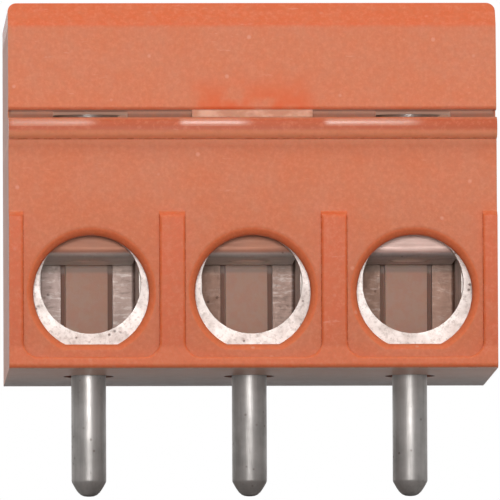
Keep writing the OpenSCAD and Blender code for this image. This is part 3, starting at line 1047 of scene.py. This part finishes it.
@dataclass
class Guard:
    """The strip that the screw of one pole presses on the wire."""

    pole: int
    sheet: float = 0.3
    bend: float = 0.33
    crease: float = 0.06
    lean: float = 0.15
    rear_height: float = 1.0
    hole: float = 0.53
    countersink: float = 0.15
    edge: float = 0.03
    # How far the drill starts under the sheet, and ends over it
    start_under: float = 0.01
    end_over: float = 0.1

    def section(self, low: Vector, high: Vector) -> Outline:
        """Draws the strip from the side.

        Args:
            low: The lower corner of the strip's box, in millimetres.
            high: Its upper corner.

        Returns:
            Y and Z of each corner, round the section.
        """
        front, rear, base, top = low.y, high.y, low.z, high.z
        sheet, bend, crease = self.sheet, self.bend, self.crease
        inner = base + sheet + crease
        outside = [(front + self.lean, top),
                   *arc((front + bend, base + bend), bend, 180, 270),
                   *arc((rear - bend, base + bend), bend, 270, 360),
                   (rear, base + self.rear_height)]
        inside = [(rear - sheet, base + self.rear_height),
                  *arc((rear - sheet - crease, inner), crease, 0, -90, 3),
                  *arc((front + sheet + crease, inner), crease, 270, 180, 3),
                  (front + self.lean + sheet, top)]
        return outside + inside

    def build(self) -> None:
        """Models and dresses the strip."""
        node = f"wire_guard_{self.pole}"
        low, high = (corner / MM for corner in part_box(node))
        piece = prism(f"guard_strip_{self.pole}", self.section(low, high), low.x, high.x)
        drill = turned("drill", [
            (self.hole + self.countersink + self.start_under, low.z - self.start_under),
            (self.hole, low.z + self.countersink),
            (self.hole, low.z + self.sheet + self.end_over)], (low + high) / 2 * MM)
        carve(piece, drill, "DIFFERENCE")
        break_edges(piece, self.edge)
        plate = WORN_PALE_LIP_GUARD_FINISH if self.pole == 3 else GUARD_FINISH
        fit(piece, plate.material(f"guard_plate_{self.pole}", 17.0 * self.pole),
            f"guard_{self.pole}", "guard_tin", node)


@dataclass
class Screw:
    """The captive screw of one pole."""

    pole: int
    major: float = 1.2
    root: float = 0.94
    pitch: float = 0.45
    crest: float = 0.02
    shank_rise: float = 0.3
    chamfer: float = 0.25
    head_height: float = 1.2
    head_edge: float = 0.03
    slot_width: float = 0.6
    slot_depth: float = 0.7
    pilot: float = 0.5
    peened: float = 0.6
    # How far bodies that are joined reach into each other
    overlap: float = 0.2
    # Radius under the peened one and height over the end of its two rings
    peened_rings: Outline = ((0.08, 0.0), (0.02, 0.03))
    pilot_level: float = 0.11
    # Radius under the head's and depth under its top of its upper rings
    top_rings: Outline = ((0.0, 0.15), (0.05, 0.05), (0.18, 0.0))
    foot_edge: float = 0.1
    slot_over: float = 0.2

    def thread(self, centre: Vector, low: float, high: float) -> Piece:
        """Winds the threaded shank and cuts it square at both ends.

        Args:
            centre: A point on the axis.
            low: Height of its lower end, in millimetres.
            high: Height of its upper end.

        Returns:
            The shank.
        """
        p, edge = self.pitch, self.major - self.crest
        start = low - 1.5 * p
        profile = [(self.root, 0.0), (edge, 0.42 * p), (self.major, 0.46 * p),
                   (self.major, 0.54 * p), (edge, 0.58 * p), (self.root, p)]
        piece = drawn("shank", [Vector((radius, 0, rise)) for radius, rise in profile])
        turns = math.ceil((high - start) / p) + 1
        apply_modifier(piece, "SCREW", axis="Z", angle=2 * math.pi,
                       screw_offset=p * MM, iterations=turns, steps=48,
                       render_steps=48, use_merge_vertices=True,
                       merge_threshold=WELD)
        piece.location = (centre.x, centre.y, start * MM)
        settle(piece)
        with editing():
            for level, side in ((low, True), (high, False)):
                bpy.ops.mesh.select_all(action="SELECT")
                bpy.ops.mesh.bisect(plane_co=(0, 0, level * MM), plane_no=(0, 0, 1),
                                    use_fill=True, clear_inner=side,
                                    clear_outer=not side, threshold=SNAP)
            bpy.ops.mesh.select_all(action="SELECT")
            bpy.ops.mesh.remove_doubles(threshold=WELD)
            face_outwards()
        return piece

    def cap(self, centre: Vector, radius: float, top: float) -> Piece:
        """Models the slotted head.

        Args:
            centre: A point on the axis.
            radius: The head's radius, in millimetres.
            top: Height of its top.

        Returns:
            The head.
        """
        head = top - self.head_height
        cap = turned("head_blank", [
            (radius - self.foot_edge, head), (radius, head + self.foot_edge),
            *((radius - inset, top - drop) for inset, drop in self.top_rings)], centre)
        bpy.ops.object.select_all(action="DESELECT")
        bpy.ops.mesh.primitive_cube_add(
            size=1, scale=(2.2 * radius * MM, self.slot_width * MM,
                           (self.slot_depth + self.slot_over) * MM),
            location=(centre.x, centre.y,
                      (top - self.slot_depth / 2 + self.slot_over / 2) * MM))
        cutter = bpy.context.object
        settle(cutter)
        carve(cap, cutter, "DIFFERENCE")
        break_edges(cap, self.head_edge)
        return cap

    def build(self) -> None:
        """Models and dresses the screw."""
        node = f"clamp_screw_{self.pole}"
        low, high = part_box(node)
        centre = (low + high) / 2
        bottom, top = low.z / MM, high.z / MM
        start, end = bottom + self.shank_rise, top - self.head_height + self.overlap
        piece = turned(f"screw_turned_{self.pole}", [
            *((self.peened - inset, bottom + rise) for inset, rise in self.peened_rings),
            (self.pilot, bottom + self.pilot_level),
            (self.pilot, start + 2 * self.overlap)], centre)
        shank = self.thread(centre, start, end)
        shape = turned("shank_envelope", [
            (self.major - 0.2, start), (self.major + 0.05, start + self.chamfer),
            (self.major + 0.05, end)], centre)
        carve(shank, shape, "INTERSECT")
        carve(piece, shank, "UNION")
        carve(piece, self.cap(centre, (high.x - low.x) / 2 / MM, top), "UNION")
        fit(piece, SCREW_FINISH.material(f"screw_plate_{self.pole}", 3.0 * self.pole),
            f"screw_{self.pole}", "screw_steel", node, degrees=32)


# ---- Stage, light and camera ----


@dataclass(frozen=True)
class Lamp:
    """A lamp: its direction in degrees, its distance and size in metres, its radiance."""

    name: str
    azimuth: float
    elevation: float
    distance: float
    width: float
    height: float
    radiance: float


@dataclass
class Studio:
    """A pale floor, soft light and the camera."""

    floor_size: float = 0.28
    floor_gap: float = 0.02
    floor_pale: Colour = (0.86, 0.86, 0.86)
    floor_dull: Colour = (0.82, 0.82, 0.82)
    floor_bounce: Colour = (0.20, 0.20, 0.20)
    below: float = 0.20
    brighter_above: float = 0.22
    brighter_behind: float = 0.55
    azimuth: float = -2.15
    elevation: float = -4.2
    roll: float = -0.25
    distance: float = 450.0
    scale: float = 31.89
    aim: tuple[float, float, float] = (-0.11, -4.1, 3.705)
    picture: int = 500
    lamps: tuple[Lamp, ...] = (
        Lamp("near_lens", -2.5, -1.4, 0.60, 0.08, 0.06, 106.0),
        Lamp("front_box", 6.0, 4.0, 0.40, 0.22, 0.12, 1.2),
        Lamp("top_box", 2.0, 56.0, 0.35, 0.12, 0.20, 5.0))

    def floor(self, level: float) -> None:
        """Lays the floor under the pins, seen only from above.

        Args:
            level: Height of the pins' tips, in metres.
        """
        bpy.ops.object.select_all(action="DESELECT")
        bpy.ops.mesh.primitive_plane_add(size=self.floor_size,
                                         location=(0, 0, level - self.floor_gap * MM))
        plane = bpy.context.object
        plane.name = "floor"
        skin = Skin("floor_paint")
        grit = skin.noise(0.4, detail=2)
        skin.shade(Base_Color=skin.mix(grit * 0.3, self.floor_pale, self.floor_dull),
                   Roughness=0.8)
        clear = skin.node("ShaderNodeBsdfTransparent")
        back = skin.node("ShaderNodeNewGeometry", output="Backfacing")
        seen = skin.node("ShaderNodeLightPath", output="Is Camera Ray")
        lit = skin.node("ShaderNodeLightPath", output="Is Diffuse Ray")
        dark = skin.node("ShaderNodeBsdfDiffuse", {"Color": self.floor_bounce})
        body = skin.node("ShaderNodeMixShader", {0: lit, 1: skin.body, 2: dark})
        shown = skin.node("ShaderNodeMixShader", {0: back * seen, 1: body, 2: clear})
        skin.feed(skin.end, shown)
        plane.data.materials.append(skin.material)
        plane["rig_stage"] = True

    def world(self) -> None:
        """Surrounds the part with grey, brighter above, and white behind it."""
        world = bpy.data.worlds.new("surround")
        bpy.context.scene.world = world
        world.use_nodes = True
        graph = Graph(world.node_tree, "ShaderNodeOutputWorld")
        place = graph.node("ShaderNodeTexCoord", output="Generated")
        strength = graph.along(Axis.Z, place).ramp(-0.6, 0.7) * self.brighter_above \
            + graph.along(Axis.Y, place).ramp(0.3, 0.95) * self.brighter_behind \
            + self.below
        grey = graph.node("ShaderNodeBackground", {"Color": WHITE, "Strength": strength})
        white = graph.node("ShaderNodeBackground", {"Color": WHITE})
        seen = graph.node("ShaderNodeLightPath", output="Is Camera Ray")
        graph.feed(graph.end,
                   graph.node("ShaderNodeMixShader", {0: seen, 1: grey, 2: white}))

    @staticmethod
    def away(azimuth: float, elevation: float) -> Vector:
        """Gives the direction from the part towards a lamp or the camera."""
        a, e = math.radians(azimuth), math.radians(elevation)
        return Vector((math.sin(a) * math.cos(e), -math.cos(a) * math.cos(e),
                       math.sin(e)))

    def light(self) -> None:
        """Hangs the lamps round the part."""
        middle = Vector((0, 0, 5 * MM))
        for lamp in self.lamps:
            area = bpy.data.lights.new(lamp.name, "AREA")
            area.shape = "RECTANGLE"
            area.size, area.size_y = lamp.width, lamp.height
            area.energy = lamp.radiance * math.pi * lamp.width * lamp.height
            holder = bpy.data.objects.new(lamp.name, area)
            bpy.context.scene.collection.objects.link(holder)
            back = self.away(lamp.azimuth, lamp.elevation)
            holder.location = middle + back * lamp.distance
            holder.rotation_mode = "QUATERNION"
            holder.rotation_quaternion = (-back).to_track_quat("-Z", "Y")
            holder.visible_camera = False

    def camera(self) -> None:
        """Sets up the camera at the viewing angle."""
        data = bpy.data.cameras.new("camera")
        data.sensor_width = 36.0
        data.lens = self.scale * self.distance / self.picture * data.sensor_width
        data.clip_start, data.clip_end = 0.01, 3.0
        holder = bpy.data.objects.new("camera", data)
        bpy.context.scene.collection.objects.link(holder)
        back = self.away(self.azimuth, self.elevation)
        right = Vector((math.cos(math.radians(self.azimuth)),
                        math.sin(math.radians(self.azimuth)), 0))
        turn = math.radians(self.roll)
        up = back.cross(right)
        across = right * math.cos(turn) + up * math.sin(turn)
        upright = back.cross(across)
        holder.matrix_world = Matrix((
            (across.x, upright.x, back.x, 0), (across.y, upright.y, back.y, 0),
            (across.z, upright.z, back.z, 0), (0, 0, 0, 1)))
        holder.location = Vector(self.aim) * MM + back * self.distance * MM
        bpy.context.scene.camera = holder

    def build(self, level: float) -> None:
        """Sets the stage, with the floor under the given height in metres."""
        self.floor(level)
        self.world()
        self.light()
        self.camera()
        bpy.context.scene.view_settings.view_transform = "Standard"


def main() -> None:
    """Builds the pieces in order, and the stage round them."""
    logging.basicConfig(level=logging.INFO, format="%(name)s: %(message)s")
    solid_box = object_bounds()
    plastic = MouldedPlastic().material("orange_plastic")
    Moulding("base_housing", "base_moulding").build(plastic)
    Moulding("top_cover", "cover_moulding").build(plastic)
    for pole in POLES:
        Cage(pole).build()
        Pin(pole).build()
        Guard(pole).build()
        Screw(pole).build()
    Studio().build(solid_box[0].z)


if __name__ == "__main__":
    main()
